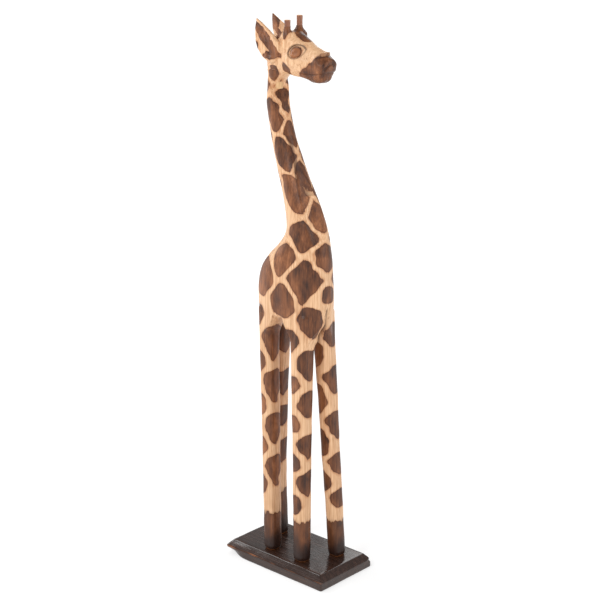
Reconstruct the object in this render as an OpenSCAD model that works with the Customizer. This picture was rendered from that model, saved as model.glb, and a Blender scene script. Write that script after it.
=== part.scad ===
// Carved giraffe statue on a bevelled base board.
// +X is the way the giraffe faces, +Y is its left and +Z is up.
// The origin is the centre of the board's underside.

/* [Base board] */
// Length of the board, along X
base_l = 240; // [230:1:260]
// Width of the board, along Y
base_w = 140; // [134:1:160]
// Thickness of the board
base_t = 27; // [24:1:32]
// Width of the bevel round the top, seen from above
bevel_w = 10; // [4:1:12]
// Height of the bevel
bevel_h = 11; // [4:1:14]

/* [Stance] */
// Sideways place of the giraffe's middle plane
mid_y = -6; // [-8:1:8]
// Distance of each foot from the middle plane
foot_side = 30; // [28:1:34]
// Distance of each leg's top from the middle plane
hip_side = 22; // [21:1:23]
// Height of the plane where the legs meet the body
hip_z = 482; // [474:1:488]
// Half the thickness of a foot
foot_r = 14; // [13:0.5:16]
// Height of the small bevel round a foot
foot_bevel = 2; // [1:0.5:3]

/* [Head] */
// Height of the plane where the head sits on the neck
nape_z = 905; // [902:1:908]
// Distance of the flat ear seats from the middle plane
seat_side = 16; // [15:0.5:17]
// Distance of each horn from the middle plane
horn_side = 15; // [13:0.5:16]
// Height of the left horn's top, which is the statue's height
statue_h = 1002; // [996:1:1006]
// How much lower the right horn ends
horn_drop = 6; // [0:1:8]

/* [Joinery] */
// Diameter of the leg dowels
leg_dowel_d = 12; // [8:1:16]
// Length of the leg dowels
leg_dowel_l = 60; // [40:2:80]
// Diameter of the neck dowel
neck_dowel_d = 14; // [10:1:16]
// Length of the neck dowel
neck_dowel_l = 56; // [40:2:60]
// Diameter of the ear dowels
ear_dowel_d = 6; // [4:1:8]
// Length of the ear dowels
ear_dowel_l = 16; // [12:1:18]
// Shank diameter of the base screws
screw_d = 4.5; // [3.5:0.5:5]
// Length of the base screws
screw_l = 50; // [45:1:60]

/* [Hidden] */
CORNERS = ["front_right", "front_left", "hind_right", "hind_left"];
SIDES = ["right", "left"];

pale_wood = [0.84, 0.68, 0.48];
scorched_wood = [0.36, 0.22, 0.14];
dark_wood = [0.24, 0.17, 0.13];
dowel_wood = [0.80, 0.70, 0.52];
screw_zinc = [0.72, 0.72, 0.74];

round_fn = 64;     // facets of the round bores and pins
eps = 0.5;         // how far a cutter runs past the face that it opens
glue_room = 1;     // space left past the end of each dowel

// Each leg: foot x, top x, bow to the rear, half length and half width at the top, and side
LEGS = [
    [43, 36, 0, 20, 19, -1],
    [75, 46, 0, 18, 19, 1],
    [-30, -44, 0, 16, 16, -1],
    [-67, -52, -8, 15, 16, 1]];
leg_rings = 16;
leg_sides = 32;
leg_roundness = 3;
leg_bow_power = 0.7;  // below 1, the bow is fullest below the middle of the leg

// Body and neck, from the hips up: height, middle x, half length, half width and roundness
BODY = [
    [hip_z, 1, 70, 42, 3.0],
    [506, 1, 74, 43, 2.8],
    [535, 1, 76, 43, 2.5],
    [563, 4, 72, 42, 2.4],
    [588, 13, 63, 40, 2.2],
    [610, 23, 50, 37, 2.1],
    [634, 28, 41, 33, 2.0],
    [665, 22, 37, 29, 2.0],
    [707, 6, 32, 25, 2.0],
    [750, -12, 27, 22, 2.0],
    [795, -27, 23, 20, 2.0],
    [845, -39, 21, 19, 2.0],
    [875, -40, 20, 18, 2.0],
    [nape_z, -38, 19, 18, 2.0]];
body_steps = 4;
body_sides = 48;
neck_x = -38;

// Head, from the nape to the nose: x, top height, bottom height, half width and roundness
HEAD = [
    [-56, 930, 903, 10, 2.2],
    [-51, 948, 898, 15, 2.3],
    [-42, 965, 896, 18, 2.4],
    [-28, 974, 896, 20, 2.5],
    [-8, 977, 896, 22, 2.5],
    [6, 976, 900, 24, 2.3],
    [20, 971, 901, 25, 2.2],
    [32, 964, 898, 23.5, 2.2],
    [46, 955, 895, 21, 2.2],
    [60, 949, 896, 20, 2.3],
    [70, 945, 901, 19, 2.4],
    [77, 939, 911, 15, 2.3],
    [81, 931, 921, 7, 2.0]];
head_steps = 4;
head_sides = 40;
seat_front_x = -11;

// Right ear, from its lobe to its tip: height, middle x, half length, middle and half thickness
EAR = [
    [924, -37, 7, 20, 3],
    [932, -37, 19, 22, 6],
    [945, -40, 26, 23, 8],
    [958, -43, 27, 23, 8],
    [969, -50, 22, 22, 7],
    [979, -58, 14.5, 21, 5],
    [987, -65, 7.5, 20, 3.5],
    [993, -70, 2, 20, 1.5]];
ear_steps = 2;
ear_sides = 32;
ear_roundness = 2.2;
// The hollow of each ear: middle and radius of the gouge's sweep
ear_hollow = [-46, 78, 954];
ear_hollow_r = 52;
ear_dowel_at = [-26, 950];

// Horns: place along the head, and the radii and heights of their turned profile
horn_x = -4;
horn_foot_z = 964;
horn_foot_r = 5.8;
horn_waist_r = 4.8;
horn_top_r = 5.2;
horn_peg_r = 3.5;
horn_peg_l = 12;
horn_flare_h = 12;
horn_edge = 1;        // bevel round a horn's foot and top
horn_bore_h = 20;     // past the top of the head from the seat of a horn

// Screws: countersunk head, drilled hole and point
screw_head_d = 9;
screw_head_h = 3;
screw_sunk = 1;
screw_hole_room = 0.25;
screw_slot = [6, 1.2, 1.6];
screw_point_h = 6;

leg_dowel_z = hip_z - leg_dowel_l / 2;
neck_dowel_z = nape_z - neck_dowel_l / 2;
ear_dowel_start = seat_side - ear_dowel_l / 2;

// Value of a smooth curve through the stations s, at t stations from the first
function along(s, t) =
    let (i = min(floor(t), len(s) - 2), f = t - i)
    let (a = s[max(i - 1, 0)], b = s[i], c = s[i + 1], d = s[min(i + 2, len(s) - 1)])
    0.5 * (2 * b + (c - a) * f + (2 * a - 5 * b + 4 * c - d) * f * f
        + (3 * b - a - 3 * c + d) * f * f * f);

// All the stations of a curve, with some more between each two
function fill(s, steps) = [for (k = [0:(len(s) - 1) * steps]) along(s, k / steps)];

// One coordinate of a rounded square: 2 is an ellipse, and more is squarer
function squared(v, roundness) = sign(v) * pow(abs(v), 2 / roundness);

// Flat outline of half sizes a and b, as pairs round its middle
function outline(a, b, roundness, sides) =
    [for (k = [0:sides - 1])
        let (w = 360 * (k + 0.5) / sides)
        [a * squared(cos(w), roundness), b * squared(sin(w), roundness)]];

function between(a, b, t) = a + (b - a) * t;

// Closed solid through rings that all have the same number of points
module skin(rings) {
    sides = len(rings[0]);
    last = len(rings) - 1;
    walls = [for (i = [0:last - 1], k = [0:sides - 1])
        let (a = i * sides + k, b = i * sides + (k + 1) % sides)
        each [[a, a + sides, b + sides], [a, b + sides, b]]];
    floor_face = [[for (k = [0:sides - 1]) k]];
    top_face = [[for (k = [sides - 1:-1:0]) last * sides + k]];
    polyhedron([for (r = rings) each r], concat(floor_face, walls, top_face));
}

// Place of a leg's middle at t, from 0 at the foot to 1 at the hip
function leg_at(leg, t) = [
    between(leg[0], leg[1], t) + leg[2] * sin(180 * pow(t, leg_bow_power)),
    mid_y + leg[5] * between(foot_side, hip_side, t),
    between(base_t, hip_z, t)];

function leg_ring(leg, t, inset) =
    let (a = between(foot_r, leg[3], t * t) - inset, b = between(foot_r, leg[4], t * t) - inset)
    [for (p = outline(a, b, leg_roundness, leg_sides)) leg_at(leg, t) + [p.x, p.y, 0]];

// Round bore or pin standing on a point
module upright(at, z, d, h) {
    translate([at.x, at.y, z]) cylinder(d = d, h = h, $fn = round_fn);
}

module base_board() {
    half_l = base_l / 2;
    half_w = base_w / 2;
    step = base_t - bevel_h;
    color(dark_wood) difference() {
        intersection() {
            rotate([90, 0, 0]) linear_extrude(base_w, center = true) polygon([
                [-half_l, 0], [half_l, 0], [half_l, step],
                [half_l - bevel_w, base_t], [bevel_w - half_l, base_t], [-half_l, step]]);
            rotate([90, 0, 90]) linear_extrude(base_l, center = true) polygon([
                [-half_w, 0], [half_w, 0], [half_w, step],
                [half_w - bevel_w, base_t], [bevel_w - half_w, base_t], [-half_w, step]]);
        }
        for (leg = LEGS) translate(at_height(leg_at(leg, 0), 0)) rotate_extrude($fn = round_fn)
            polygon([[0, -eps], [screw_head_d / 2, -eps], [screw_head_d / 2, screw_sunk],
                [screw_d / 2 + screw_hole_room, screw_sunk + screw_head_h],
                [screw_d / 2 + screw_hole_room, base_t + eps], [0, base_t + eps]]);
    }
}

// The same place on the plan, at another height
function at_height(p, z) = [p.x, p.y, z];

module torso_neck() {
    rings = [for (s = fill(BODY, body_steps))
        [for (p = outline(s[2], s[3], s[4], body_sides)) [s[1] + p.x, mid_y + p.y, s[0]]]];
    color(pale_wood) difference() {
        skin(rings);
        for (leg = LEGS)
            upright(leg_at(leg, 1), hip_z - eps, leg_dowel_d, leg_dowel_l / 2 + glue_room + eps);
        upright([neck_x, mid_y], neck_dowel_z - glue_room, neck_dowel_d,
            neck_dowel_l / 2 + glue_room + eps);
    }
}

module head() {
    rings = [for (s = fill(HEAD, head_steps))
        let (mid_z = (s[1] + s[2]) / 2, half_h = (s[1] - s[2]) / 2)
        let (widest = s[0] < seat_front_x ? seat_side : s[3])
        let (lowest = s[0] < 0 ? nape_z : 0)
        [for (p = outline(s[3], half_h, s[4], head_sides))
            [s[0], mid_y + max(-widest, min(widest, p.x)), max(lowest, mid_z + p.y)]]];
    color(pale_wood) difference() {
        skin(rings);
        upright([neck_x, mid_y], nape_z - eps, neck_dowel_d,
            neck_dowel_l / 2 + glue_room + eps);
        for (side = [-1, 1]) {
            upright(horn_at(side), horn_foot_z, 2 * horn_foot_r, horn_bore_h);
            upright(horn_at(side), horn_foot_z - horn_peg_l, 2 * horn_peg_r, horn_peg_l + eps);
            ear_bore(side, -glue_room, seat_side + eps - ear_dowel_start + glue_room);
        }
    }
}

function horn_at(side) = [horn_x, mid_y + side * horn_side];

// Round bore or pin along Y at an ear's root, starting inside the head
module ear_bore(side, start, length) {
    translate([ear_dowel_at[0], mid_y + side * (ear_dowel_start + start), ear_dowel_at[1]])
        rotate([-90 * side, 0, 0])
            cylinder(d = ear_dowel_d, h = length, $fn = round_fn);
}

module ear(side) {
    rings = [for (s = fill(EAR, ear_steps))
        [for (p = outline(s[2], s[4], ear_roundness, ear_sides))
            [s[1] + p.x, mid_y + side * max(seat_side, s[3] + side * p.y), s[0]]]];
    color(pale_wood) difference() {
        skin(rings);
        translate([ear_hollow.x, mid_y + side * ear_hollow.y, ear_hollow.z])
            sphere(r = ear_hollow_r, $fn = round_fn);
        ear_bore(side, 0, ear_dowel_l + glue_room);
    }
}

module ear_dowel(side) {
    color(dowel_wood) ear_bore(side, 0, ear_dowel_l);
}

module horn(side) {
    top = statue_h - (side < 0 ? horn_drop : 0) - horn_foot_z;
    color(scorched_wood) translate(at_height(horn_at(side), horn_foot_z))
        rotate_extrude($fn = round_fn) polygon([
            [0, -horn_peg_l], [horn_peg_r, -horn_peg_l], [horn_peg_r, 0], [horn_foot_r, 0],
            [horn_foot_r, horn_edge], [horn_waist_r, horn_flare_h],
            [horn_top_r, top - horn_edge], [horn_top_r - horn_edge, top], [0, top]]);
}

module leg(i) {
    steps = [for (k = [0:leg_rings]) k / leg_rings];
    bevel_t = foot_bevel / (hip_z - base_t);
    rings = concat(
        [leg_ring(LEGS[i], 0, foot_bevel), leg_ring(LEGS[i], bevel_t, 0)],
        [for (t = steps) if (t > bevel_t) leg_ring(LEGS[i], t, 0)]);
    color(pale_wood) difference() {
        skin(rings);
        upright(leg_at(LEGS[i], 1), leg_dowel_z - glue_room, leg_dowel_d,
            leg_dowel_l / 2 + glue_room + eps);
        upright(leg_at(LEGS[i], 0), base_t - eps, screw_d, screw_l - base_t + glue_room + eps);
    }
}

module leg_dowel(i) {
    color(dowel_wood) upright(leg_at(LEGS[i], 1), leg_dowel_z, leg_dowel_d, leg_dowel_l);
}

module neck_dowel() {
    color(dowel_wood) upright([neck_x, mid_y], neck_dowel_z, neck_dowel_d, neck_dowel_l);
}

module base_screw(i) {
    shank_r = screw_d / 2;
    color(screw_zinc) translate(at_height(leg_at(LEGS[i], 0), 0)) difference() {
        rotate_extrude($fn = round_fn) polygon([
            [0, screw_sunk], [screw_head_d / 2, screw_sunk],
            [shank_r, screw_sunk + screw_head_h], [shank_r, screw_l - screw_point_h],
            [0, screw_l]]);
        for (turn = [0, 90])
            rotate(turn) translate([0, 0, screw_sunk]) cube(screw_slot, center = true);
    }
}

base_board();
torso_neck();
head();
neck_dowel();
for (i = [0:1]) {
    ear(2 * i - 1);
    horn(2 * i - 1);
    ear_dowel(2 * i - 1);
}
for (i = [0:3]) {
    leg(i);
    leg_dowel(i);
    base_screw(i);
}
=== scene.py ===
import math
from functools import partial

import bmesh
import bpy
import numpy as np
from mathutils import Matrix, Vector


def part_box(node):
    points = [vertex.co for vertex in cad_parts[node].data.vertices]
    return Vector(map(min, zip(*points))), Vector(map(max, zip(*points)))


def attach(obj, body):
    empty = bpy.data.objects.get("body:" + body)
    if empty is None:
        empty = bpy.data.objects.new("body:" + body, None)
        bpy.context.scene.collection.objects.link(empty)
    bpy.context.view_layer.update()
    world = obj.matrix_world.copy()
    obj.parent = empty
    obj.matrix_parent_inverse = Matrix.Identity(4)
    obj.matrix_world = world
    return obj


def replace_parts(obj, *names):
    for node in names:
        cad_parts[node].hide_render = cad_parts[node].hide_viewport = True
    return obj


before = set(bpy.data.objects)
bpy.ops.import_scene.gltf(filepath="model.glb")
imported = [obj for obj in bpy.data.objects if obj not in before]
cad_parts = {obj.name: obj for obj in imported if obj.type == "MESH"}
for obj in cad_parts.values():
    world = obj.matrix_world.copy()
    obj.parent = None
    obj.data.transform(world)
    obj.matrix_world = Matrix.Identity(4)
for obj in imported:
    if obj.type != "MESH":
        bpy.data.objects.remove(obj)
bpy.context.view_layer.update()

MM = 0.001

# ---- measures
# Shapes are worked out in millimetres in the CAD frame: X forward, Y to the
# animal's left, Z up. Sizes that the CAD model states are read from its nodes.


def low(node):
    return np.array(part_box(node)[0]) / MM


def high(node):
    return np.array(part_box(node)[1]) / MM


def span(node):
    """A node's low and high corners, its centre and its half sizes."""
    lo, hi = low(node), high(node)
    return lo, hi, (lo + hi) / 2, (hi - lo) / 2


LEGS = {"leg_front_right": -1, "leg_front_left": 1, "leg_hind_right": -1, "leg_hind_left": 1}
SIDES = {"right": -1, "left": 1}
BOARD_TOP = high("base_board")[2]
HIP_Z = low("torso_neck")[2]
NAPE_Z = high("torso_neck")[2]
MID_Y = (low("torso_neck")[1] + high("torso_neck")[1]) / 2


def mesh_points(mesh):
    points = np.empty(len(mesh.vertices) * 3)
    mesh.vertices.foreach_get("co", points)
    return points.reshape(-1, 3) / MM


def sections(node, step):
    """Height, centre and half sizes of a CAD node's outline at even heights."""
    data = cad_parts[node].data
    points = mesh_points(data)
    ends = np.empty(len(data.edges) * 2, dtype=int)
    data.edges.foreach_get("vertices", ends)
    start, stop = points[ends[0::2]], points[ends[1::2]]
    first, last = points[:, 2].min(), points[:, 2].max()
    rows = []
    for level in np.linspace(first + 0.4, last - 0.4, int((last - first) / step)):
        near, far = start[:, 2] - level, stop[:, 2] - level
        crossing = near * far < 0
        share = (near / np.where(crossing, near - far, 1))[crossing, None]
        cut = start[crossing] + (stop[crossing] - start[crossing]) * share
        lo, hi = cut[:, :2].min(0), cut[:, :2].max(0)
        rows.append([level, *(lo + hi) / 2, *(hi - lo) / 2])
    return np.array(rows)


TORSO = sections("torso_neck", 5)
LEG = {name: sections(name, 8) for name in LEGS}

# ---- fields
# A field gives each point its distance to the wood's surface, less than zero
# inside. Fields are blended, carved and then meshed.


def waves(points, length, seed, count=7):
    """A smooth seeded wave pattern between about -1 and 1, with waves near the given length."""
    rng = np.random.default_rng(seed)
    total = np.zeros(len(points))
    for _ in range(count):
        direction = rng.normal(size=3)
        direction /= np.linalg.norm(direction)
        turn = 2 * np.pi / (length * rng.uniform(0.7, 1.5))
        total += np.sin(points @ direction * turn + rng.uniform(0, 6.28))
    return total / math.sqrt(count)


def ramp(values, start, stop):
    """A smooth rise from 0 at start to 1 at stop."""
    t = np.clip((values - start) / (stop - start), 0, 1)
    return t * t * (3 - 2 * t)


def join(a, b, soft):
    """The union of two fields with a fillet."""
    h = np.maximum(soft - np.abs(a - b), 0) / soft
    return np.minimum(a, b) - h * h * soft / 4


def carve(a, b, soft):
    """What is inside both fields, with a rounded edge."""
    return -join(-a, -b, soft)


def oval(u, v, half_u, half_v, power):
    """Signed distance along the radius to a superellipse."""
    ratio = (np.abs(u / half_u) ** power + np.abs(v / half_v) ** power) ** (1 / power)
    ratio = np.maximum(ratio, 1e-4)
    radius = np.sqrt(u * u + v * v) + 1e-4
    return radius - radius / ratio


def ball(p, centre, sizes):
    """Near signed distance to an ellipsoid."""
    q = (p - np.array(centre)) / np.array(sizes)
    ratio = np.linalg.norm(q, axis=1) + 1e-6
    radius = np.linalg.norm(p - np.array(centre), axis=1) + 1e-6
    return radius - radius / ratio


def along(table, at, column):
    """A column of a station table at any place along its first column."""
    table = np.asarray(table)
    return np.interp(at, table[:, 0], table[:, column])


# height, roundness of the torso's outline: a softened box at the belly, an oval above
TORSO_ROUNDNESS = [(482, 3.0), (506, 2.8), (535, 2.5), (563, 2.4), (588, 2.2), (634, 2.0), (905, 2.0)]
LEG_ROUNDNESS = 3.0
BELLY_ROUNDING = 7
FOOT_BEVEL = 2.2
# height of the crotch between each pair of legs, and the wood that joins the two
CROTCH = {"front": 431, "hind": 446}
WEB_HALF_WIDTH = 16
WEB_SHARE = 0.72
# how fast legs and webs die out inside the body above the hips
FADE = 0.45
# the front right leg swells forward to run into the chest, between two heights
FLARE = {"leg_front_right": 6}
FLARE_RISE = (400, 492)
# how far each leg's top spreads all round, and where, from the hips
SHOULDER = 15.0
SHOULDER_RISE = (-44, 6)
# the crease between the front legs: its depth, where it narrows and ends, and its rearmost x
CREASE_DEPTH = 2.4
CREASE_NARROWS, CREASE_TOP, CREASE_REAR = 500, 540, 30
NECK_FACET_Z = 750
NECK_FACET_DEPTH = 2.1
NECK_FACET_FACING = np.array([0.88, -0.44, 0.37])
# tool marks left on the body: height, stretch along Z, length and seed
TOOL_MARKS = [(0.45, 0.45, 34, 5), (0.12, 0.3, 9, 6)]


def plan_distance(p, table, power):
    """Distance on the plan to a lofted part's outline."""
    z = p[:, 2]
    u, v = p[:, 0] - along(table, z, 1), p[:, 1] - along(table, z, 2)
    return oval(u, v, along(table, z, 3), along(table, z, 4), power)


def torso_outline(p):
    """Distance to the torso's outline on the plan, as if it went on below the hips."""
    return plan_distance(p, TORSO, along(TORSO_ROUNDNESS, p[:, 2], 1))


def torso_field(p):
    return carve(torso_outline(p), HIP_Z - 1 - p[:, 2], BELLY_ROUNDING)


def leg_field(p, name):
    z = p[:, 2]
    t = LEG[name]
    swell = FLARE.get(name, 0) * ramp(z, *FLARE_RISE)
    middle = along(t, z, 1) + swell / 2
    half = along(t, z, 3) + swell / 2
    d = oval(p[:, 0] - middle, p[:, 1] - along(t, z, 2), half, along(t, z, 4), LEG_ROUNDNESS)
    d = d + 0.7 * np.clip(BOARD_TOP + FOOT_BEVEL - z, 0, 3)
    # the top spreads until it meets the torso's outline
    start, stop = (HIP_Z + shift for shift in SHOULDER_RISE)
    grown = np.maximum(d - SHOULDER * ramp(z, start, stop), torso_outline(p))
    return np.minimum(d, grown) + FADE * np.maximum(z - HIP_Z - 8, 0)


def web_field(p, pair):
    """The wood that joins the two legs of a pair under the belly."""
    z = p[:, 2]
    right, left = LEG["leg_%s_right" % pair], LEG["leg_%s_left" % pair]
    middle = (along(right, z, 1) + along(left, z, 1)) / 2
    length = np.minimum(along(right, z, 3), along(left, z, 3)) * WEB_SHARE
    d = np.abs(p[:, 0] - middle) - length
    d = np.maximum(d, np.abs(p[:, 1] - MID_Y) - WEB_HALF_WIDTH)
    d = carve(d, CROTCH[pair] + 5 - z, 8)
    return d + FADE * np.maximum(z - HIP_Z, 0)


def pair_field(p, pair):
    d = join(leg_field(p, "leg_%s_right" % pair), leg_field(p, "leg_%s_left" % pair), 5)
    return join(d, web_field(p, pair), 8)


def neck_facet(p):
    """The flat that a knife left on the front of the neck."""
    spot = np.array([along(TORSO, NECK_FACET_Z, 1), along(TORSO, NECK_FACET_Z, 2), NECK_FACET_Z])
    half = along(TORSO, NECK_FACET_Z, 3)
    facing = NECK_FACET_FACING / np.linalg.norm(NECK_FACET_FACING)
    return (p - spot) @ facing - half + NECK_FACET_DEPTH


def notch(distance, width):
    """1 on a line, falling off to 0 within about twice the width."""
    return np.exp(-((distance / width) ** 2))


def chest_crease(p, width):
    """1 on the line between the front legs, falling off across and upward."""
    gap = np.abs(p[:, 1] - MID_Y - 1) + np.maximum(p[:, 2] - CREASE_NARROWS, 0) * 0.35
    return notch(gap, width) * (p[:, 0] > CREASE_REAR) * (p[:, 2] < CREASE_TOP)


def body_field(p):
    legs = np.minimum(pair_field(p, "front"), pair_field(p, "hind"))
    # the fillet is wide under the belly, and goes where the legs are flush with the flanks
    fillet = 0.8 + 10 * ramp(-torso_outline(p), 3, 14)
    d = join(torso_field(p), legs, fillet)
    d = d + CREASE_DEPTH * chest_crease(p, 2.6)
    d = np.where(p[:, 2] > 600, carve(d, neck_facet(p), 1.2), d)
    for height, stretch, length, seed in TOOL_MARKS:
        d = d + height * waves(p * [1, 1, stretch], length, seed)
    return d


# ---- head
# x, top, underside, half width, roundness
HEAD = [
    (-58, 922, 911, 6, 2.2), (-55, 936, 905, 12, 2.2), (-51, 949, 900, 15, 2.3), (-42, 965, 899, 18, 2.4),
    (-28, 974, 901, 20, 2.5), (-8, 977, 904, 22, 2.5), (6, 976.5, 901, 24, 2.3), (20, 971, 900.5, 25, 2.2),
    (32, 964, 898, 23.5, 2.2), (46, 955, 895, 21, 2.2), (60, 949.5, 896, 20, 2.4), (70, 946.5, 901, 19, 2.6),
    (76, 943, 909, 16.5, 2.6), (80, 936, 917, 11, 2.3), (82, 930, 923, 5, 2.0),
]
HEAD_ENDS = (-57.5, 81.5)
# how much narrower the face is at the bridge, and the x between which it gets so
BRIDGE_NARROWING, BRIDGE_RISE = 0.36, (0, 32)
# brow, cheek, muzzle, chin and the bridge's front: x, distance from the middle plane and
# height of each one's middle, its half sizes, and the blend
SWELLINGS = [
    ((12, 13.5, 957.5), (15, 6, 5), 7), ((14, 17, 930), (20, 8, 9), 12), ((66, 11, 930), (13, 9.5, 12), 8),
    ((58, 4, 903), (17, 10, 7), 8), ((72.5, 3, 942), (8, 14, 4.6), 3),
]
# height, x, half length, distance from the middle plane, half thickness
EAR = [
    (921, -36, 2, 18, 2), (924, -37, 8, 20, 4), (932, -37, 19, 22, 6), (945, -40, 26, 23.2, 7.6),
    (958, -43, 27, 23.2, 7.6), (969, -50, 22, 22, 6.4), (979, -58, 14.5, 21, 4.6), (987, -65, 7.5, 20, 3.2),
    (993, -70, 2, 20, 1.4), (995, -71, 0.8, 20, 0.7),
]
EAR_FOOT, EAR_TOP = 922, 994
# the left ear stands a little taller
EAR_LIFT = {-1: 1.01, 1: 1.085}
EAR_HOLLOW = 6.0
# side-view places of the eye's outline and eyeball: x and height
EYE = (21, 945.3)
EYEBALL = (20.5, 943.8)
EYEBALL_R = 10.0
EYE_TILT = math.radians(14)
EYE_HALF = (16.4, 10.9)
MOUTH = [(25, 912), (33, 909.5), (44, 908.5), (56, 909), (68, 911), (82, 914)]
# lower outer and upper inner end of each nostril: x, distance from the middle plane, height
NOSTRIL = ((77.5, 13.5, 919), (82, 2.5, 929.5))
# the bridge's raised front edge: x in the middle, how far it falls back, over what width, and
# the height of the step's foot
RIDGE_FRONT, RIDGE_BACK, RIDGE_HALF_WIDTH, RIDGE_FOOT = 73.5, 9.0, 15, 940.6
# the horns' place, and the bosses at their feet: height where they end, radius and spread
HORN_X, HORN_SIDE = -4, 15
BOSS_TOP, BOSS_FOOT, BOSS_R = 985, 950, 5.4
BOSS_SPREAD = {-1: 2.4, 1: 7.5}


def turned(p, centre, angle):
    """Side-view coordinates along and across a tilted direction."""
    x, z = p[:, 0] - centre[0], p[:, 2] - centre[1]
    return x * math.cos(angle) + z * math.sin(angle), z * math.cos(angle) - x * math.sin(angle)


def mirrored_points(p):
    """The points with the right side's folded onto the left."""
    m = p.copy()
    m[:, 1] = MID_Y + np.abs(p[:, 1] - MID_Y)
    return m


def almond(p):
    """Signed side-view distance to the eye's pointed outline."""
    u, v = turned(p, EYE, EYE_TILT)
    half, rise = EYE_HALF
    radius = (half * half + rise * rise) / (2 * rise)
    up = np.sqrt(u * u + (v + radius - rise) ** 2)
    down = np.sqrt(u * u + (v - radius + rise) ** 2)
    return np.maximum(up, down) - radius


def from_segment(p, a, b):
    """Distance to a straight piece, and the share of its length at the nearest place."""
    t = np.clip((p - a) @ (b - a) / ((b - a) @ (b - a)), 0, 1)
    return np.linalg.norm(p - a - t[:, None] * (b - a), axis=1), t


def from_path(p, path):
    """Side-view distance to a polyline, and how far along it the nearest place is."""
    best = np.full(len(p), 1e9)
    place = np.zeros(len(p))
    spot = p[:, [0, 2]]
    corners = np.array(path, float)
    for i, (a, b) in enumerate(zip(corners[:-1], corners[1:])):
        d, t = from_segment(spot, a, b)
        place = np.where(d < best, (i + t) / (len(path) - 1), place)
        best = np.minimum(d, best)
    return best, place


def nostril_distance(m):
    """Distance to the nostril's line, for points already mirrored to one side."""
    a, b = (np.array([x, MID_Y + y, z]) for x, y, z in NOSTRIL)
    return from_segment(m, a, b)[0]


def ridge_gap(m):
    """How far a mirrored point is ahead of the bridge's raised front edge."""
    return m[:, 0] - RIDGE_FRONT + RIDGE_BACK * ((m[:, 1] - MID_Y) / RIDGE_HALF_WIDTH) ** 2


def skull_field(p):
    x, z = p[:, 0], p[:, 2]
    top, under = along(HEAD, x, 1), along(HEAD, x, 2)
    v = z - (top + under) / 2
    half = (top - under) / 2
    # the face narrows towards the bridge
    narrowing = BRIDGE_NARROWING * ramp(x, *BRIDGE_RISE) * np.clip(v / half, 0, 1)
    width = along(HEAD, x, 3) * (1 - narrowing)
    d = oval(p[:, 1] - MID_Y, v, width, half, along(HEAD, x, 4))
    return np.maximum(d, np.maximum(x - HEAD_ENDS[1], HEAD_ENDS[0] - x))


def ear_field(p, side):
    """A leaf with a raised rim round a hollow that faces outward."""
    z = EAR_FOOT + (p[:, 2] - EAR_FOOT) / EAR_LIFT[side]
    x = p[:, 0] - along(EAR, z, 1)
    v = side * (p[:, 1] - MID_Y) - along(EAR, z, 3)
    length = along(EAR, z, 2)
    d = oval(x, v, length, along(EAR, z, 4), 2.0)
    d = np.maximum(d, np.maximum(z - EAR_TOP, EAR_FOOT - z))
    inset = np.minimum((length - np.abs(x)) * 0.85, np.minimum(z - EAR_FOOT - 3, EAR_TOP - 2 - z) * 0.8)
    return d + EAR_HOLLOW * ramp(inset, 1.8, 10) * ramp(v, -3, 1) * ramp(x, 24, 12)


def head_field(p):
    d = skull_field(p)
    m = mirrored_points(p)
    for (x, y, height), sizes, soft in SWELLINGS:
        d = join(d, ball(m, (x, MID_Y + y, height), sizes), soft)
    # socket, eyeball, the groove round the eye, the upper lid and the skin round it
    side = np.clip((m[:, 1] - MID_Y - 10) / 8, 0, 1)
    outline = almond(m)
    d = d + side * 2.2 * ramp(outline, 2.0, -2.0)
    bulge = np.clip(1 - (np.hypot(*turned(m, EYEBALL, EYE_TILT)) / EYEBALL_R) ** 2, 0, 1)
    d = d - side * 3.2 * np.sqrt(bulge)
    _, v = turned(m, EYE, EYE_TILT)
    d = d + side * 0.9 * notch(outline, 1.0)
    d = d - side * 1.7 * notch(outline + 2.4, 1.2) * ramp(v, -4, 2)
    d = d - side * 0.4 * notch(outline - 2.6, 1.5)
    # mouth line and lips
    gap, place = from_path(m, MOUTH)
    d = d + 1.0 * notch(gap, 1.0) * ramp(place, -0.1, 0.15)
    d = d - 0.6 * notch(gap - 3.0, 1.8)
    # the step down from the bridge, and the nostrils with their rims
    ahead = ridge_gap(m)
    outward = np.maximum(m[:, 1] - MID_Y - 8, 0)
    sloping = p[:, 2] - RIDGE_FOOT + 0.7 * np.maximum(ahead, 0) + 0.25 * outward
    d = carve(d, np.minimum(ahead, sloping), 1.4)
    slit = nostril_distance(m)
    d = d + 2.8 * notch(slit, 2.2) - 0.8 * notch(slit - 5.0, 2.4)
    # bosses at the feet of the horns
    for s in SIDES.values():
        horn = np.hypot(p[:, 0] - HORN_X, p[:, 1] - MID_Y - s * HORN_SIDE)
        width = BOSS_R + BOSS_SPREAD[s] * ramp(p[:, 2], BOSS_TOP + 3, BOSS_TOP - 15) ** 1.5
        ends = np.maximum(p[:, 2] - BOSS_TOP, BOSS_FOOT - p[:, 2])
        d = join(d, np.maximum((horn - width) * 0.8, ends), 4)
        d = join(d, ear_field(p, s), 3.5)
    return d + 0.3 * waves(p, 16, 8)


def whole_head(p):
    neck = torso_field(p)
    return join(head_field(p), neck + 3 * np.maximum(p[:, 2] - NAPE_Z - 4, 0), 7)


def whole_body(p):
    """The body's field with the head's underside flowing into the neck."""
    d = body_field(p)
    near = p[:, 2] > NAPE_Z - 26
    if near.any():
        q = p[near]
        head = whole_head(q) + np.maximum(q[:, 0] + 6, 0)
        share = np.clip((q[:, 2] - NAPE_Z + 24) / 18, 0, 1)
        d[near] = d[near] * (1 - share) + head * share
    return d


# ---- meshing
CORNERS = np.array([(i, j, k) for i in (0, 1) for j in (0, 1) for k in (0, 1)])
CELL_EDGES = [(a, b) for a in range(8) for b in range(a, 8) if np.abs(CORNERS[a] - CORNERS[b]).sum() == 1]


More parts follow.
